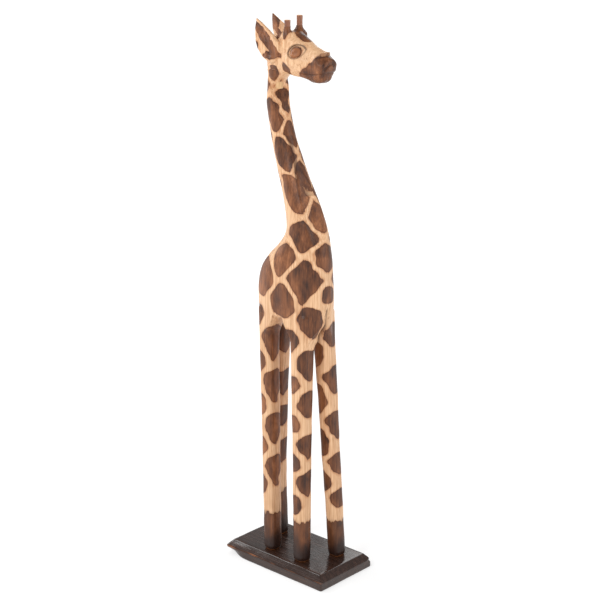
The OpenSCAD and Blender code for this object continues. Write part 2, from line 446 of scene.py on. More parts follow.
def surface_net(field, lo, hi, step):
    """Quads over the zero level of a field inside a box."""
    lo, hi = np.array(lo, float), np.array(hi, float)
    counts = np.ceil((hi - lo) / step).astype(int) + 1
    axes = [lo[i] + step * np.arange(counts[i]) for i in range(3)]
    grid = np.stack(np.meshgrid(*axes, indexing="ij"), -1).reshape(-1, 3)
    values = field(grid).reshape(counts)
    inside = values < 0
    filled = sum(
        inside[a : counts[0] - 1 + a, b : counts[1] - 1 + b, c : counts[2] - 1 + c].astype(np.int8)
        for a, b, c in CORNERS
    )
    active = (filled > 0) & (filled < 8)
    cells = np.argwhere(active)
    number = np.full(active.shape, -1)
    number[active] = np.arange(len(cells))
    corner = np.stack([values[tuple((cells + c).T)] for c in CORNERS], -1)
    total, hits = np.zeros((len(cells), 3)), np.zeros(len(cells))
    for a, b in CELL_EDGES:
        crossing = (corner[:, a] < 0) != (corner[:, b] < 0)
        share = np.where(crossing, corner[:, a] / np.where(crossing, corner[:, a] - corner[:, b], 1), 0)
        spot = CORNERS[a] + (CORNERS[b] - CORNERS[a]) * share[:, None]
        total += spot * crossing[:, None]
        hits += crossing
    points = lo + step * (cells + total / hits[:, None])
    quads = []
    for axis in range(3):
        u, v = (axis + 1) % 3, (axis + 2) % 3
        flags = np.moveaxis(inside, (axis, u, v), (0, 1, 2))
        ids = np.moveaxis(number, (axis, u, v), (0, 1, 2))
        change = flags[:-1, 1:-1, 1:-1] != flags[1:, 1:-1, 1:-1]
        i, j, k = np.nonzero(change)
        j, k = j + 1, k + 1
        quad = np.stack([ids[i, j - 1, k - 1], ids[i, j, k - 1], ids[i, j, k], ids[i, j - 1, k]], -1)
        outward = flags[i, j, k]
        quads.append(np.where(outward[:, None], quad, quad[:, ::-1]))
    return points, np.concatenate(quads)


def gradient(field, points, reach=0.25):
    columns = []
    for shift in np.eye(3) * reach:
        columns.append((field(points + shift) - field(points - shift)) / (2 * reach))
    return np.stack(columns, -1)


def settle(field, points, step):
    """Moves the points onto the zero level."""
    for _ in range(2):
        slope = gradient(field, points)
        move = field(points) / np.maximum((slope ** 2).sum(1), 0.1)
        points = points - np.clip(move, -step, step)[:, None] * slope
    return points


def build_mesh(name, points, faces):
    """A mesh in metres from points in millimetres and equal-sized faces."""
    mesh = bpy.data.meshes.new(name)
    sides = faces.shape[1]
    mesh.vertices.add(len(points))
    mesh.vertices.foreach_set("co", (points * MM).ravel())
    mesh.loops.add(faces.size)
    mesh.loops.foreach_set("vertex_index", faces.ravel())
    mesh.polygons.add(len(faces))
    mesh.polygons.foreach_set("loop_start", np.arange(len(faces)) * sides)
    mesh.update(calc_edges=True)
    return mesh


def trim(mesh, planes):
    """Cuts a mesh by planes and closes each cut flat.

    A plane is a point and an outward normal, and may have a test of the faces that it cuts.
    """
    bm = bmesh.new()
    bm.from_mesh(mesh)
    for face in bm.faces:
        face.smooth = True
    for point, normal, *test in planes:
        faces = [f for f in bm.faces if not test or test[0](f.calc_center_median() / MM)]
        edges = {e for f in faces for e in f.edges}
        verts = {v for f in faces for v in f.verts}
        cut = bmesh.ops.bisect_plane(
            bm, geom=[*verts, *edges, *faces], plane_co=Vector(point) * MM, plane_no=Vector(normal),
            clear_outer=True, dist=1e-7,
        )
        rim = [e for e in cut["geom_cut"] if isinstance(e, bmesh.types.BMEdge) and e.is_boundary]
        if rim:
            cap = bmesh.ops.triangle_fill(bm, use_beauty=True, use_dissolve=False, edges=rim)
            for item in cap["geom"]:
                if isinstance(item, bmesh.types.BMFace):
                    item.smooth = False
            for edge in rim:
                edge.smooth = False
    loose = [v for v in bm.verts if not v.link_faces]
    bmesh.ops.delete(bm, geom=loose, context="VERTS")
    bmesh.ops.recalc_face_normals(bm, faces=bm.faces[:])
    bm.to_mesh(mesh)
    bm.free()
    return mesh


def sculpt(name, field, lo, hi, step, planes, layers):
    """A field's mesh inside a box, cut by planes, with the layers' values stored on its points."""
    points, quads = surface_net(field, lo, hi, step)
    points = settle(field, points, step)
    mesh = trim(build_mesh(name, points, quads), planes)
    paint(mesh, layers(mesh_points(mesh)))
    return mesh


def ring_quads(rows, around):
    """Quads between neighbouring rings of as many points each."""
    here = np.arange(around)
    ahead = (here + 1) % around
    first = np.arange(rows - 1)[:, None] * around
    quads = np.stack([first + here, first + ahead, first + around + ahead, first + around + here], -1)
    return quads.reshape(-1, 4)


def close_rims(mesh, flat):
    """Closes the open ends of a mesh made of rings, with flat faces and sharp edges if asked."""
    bm = bmesh.new()
    bm.from_mesh(mesh)
    rims = [e for e in bm.edges if e.is_boundary]
    caps = bmesh.ops.holes_fill(bm, edges=rims)["faces"]
    for face in bm.faces:
        face.smooth = True
    if flat:
        for item in [*caps, *rims]:
            item.smooth = False
    bmesh.ops.recalc_face_normals(bm, faces=bm.faces[:])
    bm.to_mesh(mesh)
    bm.free()


def paint(mesh, layers):
    """Stores named values on the mesh's points for its material."""
    for name, values in layers.items():
        layer = mesh.attributes.new(name, "FLOAT", "POINT")
        layer.data.foreach_set("value", np.asarray(values, dtype=np.float32))


# ---- coat
# Each patch: bearing round the part in degrees (0 is the front, -90 the animal's
# right), height, half width, half height, roundness, then, unless they are 0,
# its taper towards the bottom and its lobes
TORSO_COAT = [
    (-80, 904, 7, 17, 3.0), (-18, 860, 17, 29, 2.6, -0.1), (-72, 836, 19, 26, 2.4, 0.1),
    (-10, 803, 13, 24, 2.0), (-57, 769, 17, 27, 2.3), (-8, 733, 15, 27, 2.0, 0.1),
    (-54, 701, 21, 32, 2.4, 0.2), (-3, 665, 19, 28, 2.2), (-60, 633, 26, 27, 1.9, 0.05, 0.10),
    (-2, 595, 25, 30, 2.1, 0.0, 0.05), (-100, 588, 24, 30, 2.1, 0.2, 0.04), (-141, 550, 27, 32, 2.2, 0.1),
    (-36, 558, 29, 37, 1.8, 0.25, 0.10), (-82, 517, 23, 27, 2.6, -0.15, 0.03), (2, 530, 14, 14, 2.4),
]
# the patches up the middle of the back: height, half width, half height
BACK_COAT = [(884, 16, 19), (803, 17, 16), (722, 19, 18), (655, 18, 24), (604, 15, 17), (508, 17, 17)]
# each leg's columns of patches: bearing, half width, then heights with half heights
LEG_COAT = {
    "leg_front_right": [
        (-6, 20, [(480, 31), (401, 31), (326, 28), (247, 26), (177, 27)]),
        (-122, 20, [(444, 21), (363, 18), (291, 19), (217, 21), (140, 20)]),
    ],
    "leg_front_left": [
        (6, 20, [(448, 22), (364, 27), (279, 27), (204, 23), (142, 18)]),
        (-122, 19, [(492, 24), (417, 29), (331, 30), (247, 29), (172, 24)]),
    ],
    "leg_hind_right": [
        (-16, 19, [(427, 35), (345, 33), (264, 31), (185, 32)]),
        (-138, 16, [(478, 23), (389, 24), (307, 25), (228, 25), (158, 20)]),
    ],
    "leg_hind_left": [
        (-14, 24, [(428, 38), (332, 26), (268, 22), (197, 26)]),
        (-120, 14, [(470, 24), (381, 20), (300, 20), (232, 20), (160, 18)]),
    ],
}
# a third column, turned from the first, covers the side of each leg that faces away from it
THIRD_TURN, THIRD_HALF_WIDTH, THIRD_RISE = 132, 17, 8
# how far the patches grow, and half the width of the pale bands between them
TORSO_SPREAD, TORSO_BAND = 4.2, 4.2
LEG_SPREAD, LEG_BAND = 1.8, 5.4
# on the neck, above these heights, patches grow more and bands are thinner
NECK_RISE, NECK_SPREAD, NECK_BAND = (650, 730), 3.5, -1.2
PATCH_POWER, PATCH_CORNER, PATCH_REACH = 2.2, 8.0, 22
# a distance well outside every patch
FAR = 40.0
# how much lighter than the rest each leg's patches came out
LEG_TONE = {"leg_front_right": 0.0, "leg_front_left": 0.05, "leg_hind_right": 0.22, "leg_hind_left": -0.05}
SOCK_TOP = {"leg_front_right": 106, "leg_front_left": 97, "leg_hind_right": 101, "leg_hind_left": 118}


def patch_distance(p, table, patches, spread, band):
    """Signed distance to the nearest coat patch on a lofted part, and that patch's lightness.

    The patches grow by the spread, and stop where a pale band parts them from the next one.
    Each is scorched more at its top than at its foot.
    """
    shades = np.random.default_rng(25).uniform(0.3, 0.7, len(patches))
    tone = np.full(len(p), 0.5)
    best = np.full(len(p), FAR)
    second = np.full(len(p), FAR)
    wobble_u = 1.4 * waves(p, 26, 21)
    wobble_v = 1.4 * waves(p, 24, 22)
    for patch, shade in zip(patches, shades):
        bearing, height, half_width, half_height, power, taper, lobes = (*patch, 0.0, 0.0)[:7]
        angle = math.radians(bearing)
        cos, sin = math.cos(angle), math.sin(angle)
        centre = np.array([along(table, height, 1), along(table, height, 2)])
        # the patch's middle lies on the part's outline, and moves along X with the part's axis
        outline = abs(cos / along(table, height, 3)) ** 2.4 + abs(sin / along(table, height, 4)) ** 2.4
        offset = p[:, :2] - (centre + 1 / outline ** (1 / 2.4) * np.array([cos, sin]))
        offset[:, 0] -= along(table, p[:, 2], 1) - centre[0]
        sign = np.sign(offset[:, 1] * cos - offset[:, 0] * sin)
        u = sign * np.linalg.norm(offset, axis=1) + wobble_u
        v = p[:, 2] - height + wobble_v
        near = (np.abs(u) < half_width + PATCH_REACH) & (np.abs(v) < half_height + PATCH_REACH)
        u, v = u[near], v[near]
        u = u / (1 + taper * np.clip(v / half_height, -1.2, 1.2))
        if lobes:
            turn = np.arctan2(v / half_height, u / half_width)
            swell = 1 + lobes * np.cos(4 * turn)
            u, v = u / swell, v / swell
        own = oval(u, v, half_width, half_height, power)
        lightness = np.clip(shade - 0.14 * v / half_height, 0, 1)
        tone[near] = np.where(own < best[near], lightness, tone[near])
        second[near] = np.minimum(second[near], np.maximum(own, best[near]))
        best[near] = np.minimum(best[near], own)
    return carve(best - spread, (best - second) / 2 + band, PATCH_CORNER), tone


def leg_patches(name):
    """A leg's two listed columns, and a third one behind them."""
    made = []
    for bearing, width, spots in LEG_COAT[name]:
        made.extend((bearing, z, width, half, PATCH_POWER, 0.25) for z, half in spots)
    behind = LEG_COAT[name][0][0] + THIRD_TURN
    for z, half in LEG_COAT[name][1][2]:
        made.append((behind, z + THIRD_RISE, THIRD_HALF_WIDTH, half, PATCH_POWER, 0.2))
    return made


def leg_distance(p, name):
    d, tone = patch_distance(p, LEG[name], leg_patches(name), LEG_SPREAD, LEG_BAND)
    tone = np.where(p[:, 2] < SOCK_TOP[name] + 6, 0.42, tone)
    fingers = 2.2 * waves(p * [1, 1, 0.1], 6, 31) + 2.0 * waves(p * [1, 1, 0.1], 14, 32)
    return np.minimum(d, p[:, 2] - SOCK_TOP[name] + fingers), tone


def torso_distance(p):
    """The torso's patches: the listed ones, the same on the left, a little lower, and the back's."""
    left = [(-b, z - 6, *rest) for b, z, *rest in TORSO_COAT if b < -20]
    back = [(180, *rest, PATCH_POWER) for rest in BACK_COAT]
    neck = ramp(p[:, 2], *NECK_RISE)
    spread = TORSO_SPREAD + NECK_SPREAD * neck * ramp(p[:, 2], 905, 880)
    return patch_distance(p, TORSO, TORSO_COAT + left + back, spread, TORSO_BAND + NECK_BAND * neck)


def body_layers(p, leg=None):
    """Coat, char, line, wear and tone values for the torso, or for one leg. On a leg the wear value is a
    painted highlight round the foot's bevel, and the line in the chest crease is painted shade.
    """
    z = p[:, 2]
    d, tone = torso_distance(p)
    if leg:
        d = d + 30 * ramp(HIP_Z - z, 4, 14)
    for name in [leg] if leg else LEGS:
        own, own_tone = leg_distance(p, name)
        if leg is None:
            away = plan_distance(p, LEG[name], LEG_ROUNDNESS)
            own = own + 30 * ramp(away, 17, 24) + 30 * ramp(z, HIP_Z + 30, HIP_Z + 44)
        tone = np.where(own < d, own_tone, tone)
        d = np.minimum(d, own)
    char = np.zeros(len(p))
    wear_and_highlight = np.zeros(len(p))
    if leg:
        sock = ramp(z, SOCK_TOP[leg] + 8, SOCK_TOP[leg] - 4)
        char = sock * (0.22 + 0.3 * np.clip(waves(p * [1, 1, 0.5], 34, 42), 0, 1))
        char = np.maximum(char, 0.95 * ramp(z + 8 * waves(p, 30, 41), 98, 36))
        # painted highlight: a light band round each foot's bevel, just above the board
        wear_and_highlight = ramp(z, BOARD_TOP + 3.2, BOARD_TOP + 1.2)
        tone = np.clip(tone + LEG_TONE[leg], 0, 1)
    # painted shade: the crease between the front legs is darkened along its line
    line = 0.8 * chest_crease(p, 2.0)
    # the neck's facet is dark, with a darker edge
    facet = neck_facet(p)
    edge = notch(facet + 0.9, 0.7) * (np.abs(facet) < 1.6)
    line = np.maximum(line, 0.75 * edge * (z > 700) * (z < 800))
    d = np.minimum(d, 3.5 - 6 * ramp(facet, -1.2, 0.2) + 30 * ramp(np.abs(z - 752), 44, 52))
    return {"coat": d, "char": char, "line": line, "wear_and_highlight": wear_and_highlight, "tone": tone}


def nearest_spot(p, spots):
    """Signed side-view distance to the nearest of some ovals: centre, half sizes and tilt."""
    found = []
    for centre, halves, tilt in spots:
        found.append(oval(*turned(p, centre, math.radians(tilt)), *halves, 2.0))
    return np.minimum.reduce(found)


# side-view x and height of the edge between the pale face and the dark muzzle
MUZZLE_EDGE = [(18, 885), (23, 905), (30, 912.5), (48, 926), (57, 934), (64, 939.5), (85, 941)]
# dark ovals in the side view, each with a centre, half sizes and a tilt in degrees
JAW_SPOT = [((-4, 915), (8, 11), 20)]
# on the ears' outer faces a band from the tip, a crescent below and a spot on the rear rim
EAR_SPOTS = [((-44, 961.5), (41, 9), -42), ((-33, 936), (20, 7), 8), ((-66, 948), (5.5, 10), 0)]
# on their inner faces the tip, and a spot near the head
INNER_SPOTS = [((-66, 989), (15, 13), -30), ((-27, 969), (6, 6), 0)]
IRIS_R = 10.2
IRIS_TONE = 0.85


def head_coat(p, q, m, muzzle):
    """Signed distance to the head's dark places, from plain, wavering and mirrored points."""
    x, across, left = q[:, 0], m[:, 1] - MID_Y, p[:, 1] > MID_Y
    d = np.minimum(muzzle, nearest_spot(q, JAW_SPOT))
    ears = nearest_spot(q, EAR_SPOTS) + 12 * ramp(across, 19, 15)
    d = np.minimum(d, ears + 30 * ramp(x, -12, -8))
    # the crown round the horns, the glossy brow and the foot of the right horn
    crown = np.hypot((x + 2) / 1.25, across - HORN_SIDE) - np.where(left, 14, 3)
    brow = oval(x - 19, q[:, 1] - MID_Y - 1.5, 19, 12.5, 2.2)
    d = np.minimum(d, np.minimum(crown, brow) + 20 * ramp(q[:, 2], 962, 957))
    near_foot = oval(x - HORN_X, q[:, 2] - 984, 8.0, 21, 1.6)
    d = np.minimum(d, near_foot + np.where(left, FAR, 0) + 20 * ramp(across, 7, 4))
    inner = nearest_spot(q, INNER_SPOTS) + FAR * ramp(across, 19, 22)
    return np.minimum(d, inner + 30 * ramp(x, -14, -11))


def head_layers(p):
    """Coat, char, line, wear and tone values for the head and the ears."""
    x, _, z = p.T
    m = mirrored_points(p)
    q = p + np.stack([0.9 * waves(p, 13, 51), 0 * x, 0.9 * waves(p, 11, 52)], -1)
    muzzle = np.minimum(0.75 * (q[:, 2] - along(MUZZLE_EDGE, q[:, 0], 1)), 0.4 - ridge_gap(m))
    nape, nape_tone = torso_distance(p)
    nape_edge = nape + 20 * ramp(z, 916, 924) + 20 * ramp(x, -14, -8)
    d = np.minimum(head_coat(p, q, m, muzzle), nape_edge)
    # the iris is the only dark place inside the eye's outline
    outline = almond(m)
    side = m[:, 1] - MID_Y > 12
    _, v = turned(m, EYE, EYE_TILT)
    iris = np.hypot(*turned(m, EYEBALL, EYE_TILT)) - IRIS_R
    within = np.maximum(iris, outline + np.where(v > 0, 3.6, 0.8))
    d = np.where(side & (outline < 2.0), within, d)
    pupil = np.hypot(*turned(m, (EYEBALL[0] + 1, EYEBALL[1] + 1), EYE_TILT))
    # lines round the eye, in the pupil, the mouth and the nostrils; painted shadow along the top of the iris
    # under the upper lid, and painted shadow at the foot of the bridge's step
    line = np.maximum.reduce([
        side * notch(outline, 1.7) * (0.45 + 0.4 * ramp(v, -5, 3)),
        # painted shadow: a dark line along the top of the iris, under the upper lid
        side * 0.75 * notch(iris + 0.8, 1.5) * ramp(v, -5, 5) * (outline < -1),
        side * 0.22 * ramp(pupil, 5, 2),
        0.35 * notch(from_path(m, MOUTH)[0], 1.0),
        0.85 * notch(nostril_distance(m), 2.2),
        # painted shadow: a dark band at the foot of the bridge's step, under its front edge
        0.65 * notch(ridge_gap(m) - 1.2, 2.0) * ramp(z, 932, 937),
    ])
    char = 0.3 * ramp(x, 66, 80) * ramp(z, 930, 915) + 0.25 * ramp(z, 905, 897) * (muzzle < 0)
    tone = np.where(nape <= d + 0.01, nape_tone, 0.5 + 0.22 * waves(p, 22, 53))
    tone = np.where(side & (outline < 0), IRIS_TONE, tone)
    wear_and_highlight = side * 0.75 * ramp(iris, -0.5, -3)
    return {"coat": d, "char": char, "line": line, "wear_and_highlight": wear_and_highlight, "tone": np.clip(tone, 0, 1)}


# ---- materials


def srgb(r, g, b):
    """A colour given as 0-255 screen values, as the linear values that a shader takes."""
    made = [c / 255 / 12.92 if c <= 10 else ((c / 255 + 0.055) / 1.055) ** 2.4 for c in (r, g, b)]
    return (*made, 1.0)


class Graph:
    """A material's node tree, with short calls for the nodes used here."""

    def __init__(self, name):
        self.material = bpy.data.materials.new(name)
        self.material.use_nodes = True
        self.tree = self.material.node_tree
        self.shader = self.tree.nodes["Principled BSDF"]
        self.place = self.node("TexCoord", "Object")

    def put(self, node, values):
        """Links or sets the inputs that the values name."""
        for key, value in values.items():
            if isinstance(value, bpy.types.NodeSocket):
                self.tree.links.new(value, node.inputs[key])
            else:
                node.inputs[key].default_value = value

    def node(self, kind, output, values=None, **settings):
        """One output of a new node with these inputs and settings."""
        made = self.tree.nodes.new("ShaderNode" + kind)
        for key, value in settings.items():
            setattr(made, key, value)
        self.put(made, values or {})
        return made.outputs[output]

    def noise(self, scale, detail=3.0, roughness=0.55, distortion=0.0):
        """Noise with its own scale along X, Y and Z, in features per metre."""
        place = self.node("Mapping", "Vector", {"Vector": self.place, "Scale": scale})
        shape = {"Detail": detail, "Roughness": roughness, "Distortion": distortion}
        return self.node("TexNoise", "Fac", {"Vector": place, "Scale": 1.0, **shape})

    def value(self, name):
        return self.node("Attribute", "Fac", attribute_name=name)

    def math(self, operation, a, b=0.0, c=0.0):
        return self.node("Math", 0, {0: a, 1: b, 2: c}, operation=operation)

    def remap(self, value, a, b, to_a=0.0, to_b=1.0):
        ends = {"From Min": a, "From Max": b, "To Min": to_a, "To Max": to_b}
        return self.node("MapRange", "Result", {"Value": value, **ends}, interpolation_type="SMOOTHSTEP")

    def ramp(self, value, *stops):
        made = self.tree.nodes.new("ShaderNodeValToRGB")
        self.put(made, {"Fac": value})
        elements = made.color_ramp.elements
        while len(elements) < len(stops):
            elements.new(0.5)
        for element, (at, colour) in zip(elements, stops):
            element.position = at
            element.color = srgb(*colour)
        return made.outputs["Color"]

    def mix(self, share, a, b):
        return self.node("Mix", 2, {"Factor": share, 6: a, 7: b}, data_type="RGBA")

    def bump(self, height, distance, strength):
        return self.node("Bump", "Normal", {"Distance": distance, "Strength": strength, "Height": height})

    def finish(self, colour, roughness, normal, **fixed):
        self.put(self.shader, {"Base Color": colour, "Roughness": roughness, "Normal": normal})
        self.put(self.shader, {key.replace("_", " "): item for key, item in fixed.items()})
        return self.material


def carved_wood():
    """Pale waxed wood with a scorched coat and upright grain."""
    g = Graph("carved_wood_upright")
    fine = g.noise((900, 900, 16), 4.0, 0.6)
    streak = g.noise((360, 360, 7), 3.0, 0.6, 0.25)
    broad = g.noise((42, 42, 22), 2.0)
    jagged = g.noise((650, 650, 60), 3.0, 0.6)
    shift = g.math("MULTIPLY_ADD", jagged, 2.8, -1.4)
    wave = g.math("MULTIPLY_ADD", streak, 1.8, -0.9)
    edge = g.math("ADD", g.math("ADD", g.value("coat"), shift), wave)
    grain = g.math("MULTIPLY_ADD", fine, 0.5, g.math("MULTIPLY", streak, 0.5))
    # the grain shows less where the surface cuts across it
    facing = g.node("SeparateXYZ", "Z", {0: g.node("NewGeometry", "Normal")})
    end_grain = g.remap(g.math("ABSOLUTE", facing), 0.45, 0.95, 1.0, 0.25)
    grain = g.math("MULTIPLY_ADD", g.math("SUBTRACT", grain, 0.5), end_grain, 0.5)
    pale = g.ramp(
        grain,
        (0.34, (158, 106, 70)), (0.44, (206, 160, 120)), (0.54, (226, 184, 144)), (0.70, (236, 200, 162)),
    )
    pale = g.mix(g.remap(broad, 0.42, 0.75, 0.0, 0.4), pale, srgb(196, 146, 106))
    pale = g.mix(g.remap(edge, 3.2, 0.0, 0.0, 0.55), pale, srgb(176, 108, 62))
    rim = g.remap(edge, -0.4, -3.0)
    blotch = g.noise((60, 60, 26), 3.0, 0.6, 0.3)
    lightness = g.math("MULTIPLY_ADD", g.value("tone"), 0.6, g.math("MULTIPLY_ADD", blotch, 1.15, -0.62))
    brown = g.ramp(
        g.math("MULTIPLY_ADD", grain, 0.75, g.math("MULTIPLY", lightness, 0.62)),
        (0.32, (56, 31, 20)), (0.46, (92, 53, 30)), (0.60, (120, 72, 42)), (0.78, (158, 102, 64)),
    )
    brown = g.mix(g.math("MULTIPLY_ADD", rim, 0.6, 0.4), srgb(72, 38, 22), brown)
    colour = g.mix(g.remap(edge, 0.6, -0.6), pale, brown)
    colour = g.mix(g.value("char"), colour, srgb(34, 16, 11))
    # light copper brown on the eyeball, and a painted highlight round each foot's bevel
    colour = g.mix(g.value("wear_and_highlight"), colour, srgb(150, 92, 52))
    # dark lines round the eye, in the pupil, mouth and nostrils and at the neck facet's edge, and painted
    # shade in the chest crease, along the top of the iris and at the foot of the bridge's step
    colour = g.mix(g.value("line"), colour, srgb(62, 33, 19))
    roughness = g.remap(grain, 0.35, 0.65, 0.36, 0.5)
    normal = g.bump(grain, 0.0011, 0.5)
    return g.finish(colour, roughness, normal, Coat_Weight=0.08, Coat_Roughness=0.22, Specular_IOR_Level=0.3)


def horn_material():
    g = Graph("horn_wood")
    fine = g.noise((1250, 1250, 30), 4.0, 0.6)
    broad = g.noise((90, 90, 30), 2.0)
    colour = g.ramp(
        g.math("MULTIPLY_ADD", fine, 0.6, g.math("MULTIPLY", broad, 0.4)),
        (0.28, (92, 54, 38)), (0.5, (136, 84, 58)), (0.72, (176, 122, 88)),
    )
    colour = g.mix(g.value("wear_and_highlight"), colour, srgb(206, 160, 122))
    colour = g.mix(g.value("line"), colour, srgb(44, 24, 16))
    roughness = g.remap(fine, 0.3, 0.7, 0.36, 0.55)
    normal = g.bump(fine, 0.0005, 0.5)
    return g.finish(colour, roughness, normal, Coat_Weight=0.15, Coat_Roughness=0.3)


def board_material():
    g = Graph("board_wood")
    fine = g.noise((16, 900, 900), 4.0, 0.6)
    streak = g.noise((5, 170, 170), 3.0, 0.6, 0.4)
    broad = g.noise((22, 30, 30), 3.0)
    dark = g.ramp(
        g.math("MULTIPLY_ADD", fine, 0.5, g.math("MULTIPLY", streak, 0.5)),
        (0.28, (30, 17, 13)), (0.5, (52, 33, 26)), (0.7, (78, 52, 40)),
    )
    worn = g.math("MULTIPLY_ADD", g.value("wear_and_highlight"), 1.35, g.math("MULTIPLY_ADD", fine, 1.2, -0.85))
    bare = g.ramp(streak, (0.3, (112, 66, 40)), (0.7, (168, 108, 68)))
    colour = g.mix(g.remap(worn, 0.1, 0.75), dark, bare)
    colour = g.mix(g.remap(broad, 0.45, 0.8, 0.0, 0.4), colour, srgb(28, 16, 12))
    mean = g.math("ADD", g.math("MULTIPLY", fine, 0.5), g.math("MULTIPLY", streak, 0.5))
    roughness = g.remap(mean, 0.3, 0.7, 0.16, 0.34)
    height = g.math("ADD", g.math("MULTIPLY", fine, 0.4), g.math("MULTIPLY", streak, 0.8))
    normal = g.bump(height, 0.0005, 0.35)
    return g.finish(colour, roughness, normal, Coat_Weight=0.25, Coat_Roughness=0.12, Specular_IOR_Level=0.4)


def dowel_material():
    g = Graph("dowel_wood")
    fine = g.noise((1100, 1100, 40), 4.0, 0.6)
    colour = g.ramp(fine, (0.3, (190, 146, 100)), (0.7, (224, 188, 142)))
    return g.finish(colour, g.remap(fine, 0.3, 0.7, 0.5, 0.7), g.bump(fine, 0.0003, 0.4))


def screw_material():
    g = Graph("screw_zinc")
    mottled = g.noise((900, 900, 900), 3.0)
    colour = g.ramp(mottled, (0.3, (150, 152, 156)), (0.7, (196, 198, 200)))
    roughness = g.remap(mottled, 0.3, 0.7, 0.25, 0.42)
    return g.finish(colour, roughness, g.bump(mottled, 0.0001, 0.3), Metallic=1.0)


# ---- pieces


def add_object(name, data):
    obj = bpy.data.objects.new(name, data)
    bpy.context.scene.collection.objects.link(obj)
    return obj


def piece(name, mesh, material):
    obj = add_object(name, mesh)
    mesh.materials.clear()
    mesh.materials.append(material)
    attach(obj, "root")
    return obj


# cell sizes of the meshes, and how far past their cut faces they are made
BODY_STEP = 1.35
HEAD_STEP = 0.8
SPARE = 2.5
# the box round the head and ears
HEAD_LOW, HEAD_HIGH = (-78, MID_Y - 36, 890), (85, MID_Y + 36, 1003)
# a point beside the skull and one behind it on the planes that part the ears: x and distance
# from the middle plane
EAR_CUT = ((-8, 24), (-60, 12))


def make_torso(material):
    lo, hi = low("torso_neck"), high("torso_neck")
    lo, hi = (lo[0] - 4, lo[1] - 4, HIP_Z - SPARE), (hi[0] + 4, hi[1] + 4, NAPE_Z + SPARE)
    planes = [((0, 0, HIP_Z), (0, 0, -1)), ((0, 0, NAPE_Z), (0, 0, 1))]
    mesh = sculpt("carved_torso_neck", whole_body, lo, hi, BODY_STEP, planes, body_layers)
    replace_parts(piece("carved_torso_neck", mesh, material), "torso_neck")


def make_leg(name, material):
    """One leg, from the board's top to the hips, on its own side of the middle planes."""
    side = LEGS[name]
    t = LEG[name]
    lo = [(t[:, 1] - t[:, 3]).min() - 22, (t[:, 2] - t[:, 4]).min() - 8, BOARD_TOP - SPARE]
    hi = [(t[:, 1] + t[:, 3]).max() + 22, (t[:, 2] + t[:, 4]).max() + 8, HIP_Z + SPARE]
    if side < 0:
        hi[1] = MID_Y + SPARE
    else:
        lo[1] = MID_Y - SPARE
    if "front" in name:
        lo[0] = max(lo[0], 0)
    else:
        hi[0] = min(hi[0], 0)
    planes = [((0, 0, HIP_Z), (0, 0, 1)), ((0, 0, BOARD_TOP), (0, 0, -1)), ((0, MID_Y, 0), (0, -side, 0))]
    layers = partial(body_layers, leg=name)
    mesh = sculpt("carved_" + name, body_field, lo, hi, BODY_STEP, planes, layers)
    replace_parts(piece("carved_" + name, mesh, material), name)


def ear_plane(side, outward):
    """The plane that parts an ear from the head."""
    (x1, w1), (x2, w2) = EAR_CUT
    normal = np.array([-(w1 - w2), side * (x1 - x2), 0.0])
    normal = normal / np.linalg.norm(normal) * (1 if outward else -1)
    return (x1, MID_Y + side * w1, 0), tuple(normal)


def make_head(material):
    # only the neck's stub is cut at the nape: the jaw hangs lower in front of it
    nape = ((0, 0, NAPE_Z), (0, 0, -1), lambda c: c.x < -7)
    planes = [nape, ear_plane(-1, True), ear_plane(1, True)]
    mesh = sculpt("carved_head", whole_head, HEAD_LOW, HEAD_HIGH, HEAD_STEP, planes, head_layers)
    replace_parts(piece("carved_head", mesh, material), "head")


def make_ear(side_name, material):
    side = SIDES[side_name]
    name = "carved_ear_" + side_name
    y = sorted((MID_Y + side * 8, MID_Y + side * 36))
    planes = [((0, 0, NAPE_Z), (0, 0, -1)), ear_plane(side, False)]
    lo, hi = (HEAD_LOW[0], y[0], NAPE_Z - 2), (2, y[1], HEAD_HIGH[2])
    mesh = sculpt(name, whole_head, lo, hi, HEAD_STEP, planes, head_layers)
    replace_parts(piece(name, mesh, material), "ear_" + side_name)


# share of the height, radius
HORN_PROFILE = [
    (0.0, 3.4), (0.20, 3.4), (0.23, 6.6), (0.30, 5.9), (0.42, 5.1), (0.6, 4.8), (0.8, 5.0), (0.93, 5.2),
    (0.985, 5.1), (1.0, 4.4),
]
HORN_SIDES = 56


def make_horn(side_name, material):
    node = "horn_" + side_name
    lo, hi, centre, _ = span(node)
    share, radius = np.array(HORN_PROFILE).T
    steps = np.unique(np.concatenate([np.linspace(0, 1, 46), share]))
    rings = []
    angles = np.arange(HORN_SIDES) / HORN_SIDES * 2 * np.pi
    for s in steps:
        height = np.full(HORN_SIDES, lo[2] + s * (hi[2] - lo[2]))
        r = np.interp(s, share, radius)
        ring = np.stack([centre[0] + r * np.cos(angles), centre[1] + r * np.sin(angles), height], -1)
        swell = 1 + 0.035 * waves(ring, 9, 61) + 0.02 * waves(ring * [1, 1, 0.2], 3, 62)
        ring[:, :2] = centre[:2] + (ring[:, :2] - centre[:2]) * swell[:, None]
        ring[:, 2] += (s > 0.9) * 0.5 * np.cos(angles + 1)
        rings.append(ring)
    mesh = build_mesh("turned_" + node, np.concatenate(rings), ring_quads(len(steps), HORN_SIDES))
    close_rims(mesh, True)
    level = (mesh_points(mesh)[:, 2] - lo[2]) / (hi[2] - lo[2])
    paint(mesh, {"wear_and_highlight": 0.8 * ramp(level, 0.97, 1.0), "line": 0.9 * ramp(level, 0.27, 0.23)})
    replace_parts(piece("turned_" + node, mesh, material), node)


# the bevel round the board's top: how far in and how far down it runs
BEVEL_OUT = 10.0
BEVEL_DOWN = 11.0
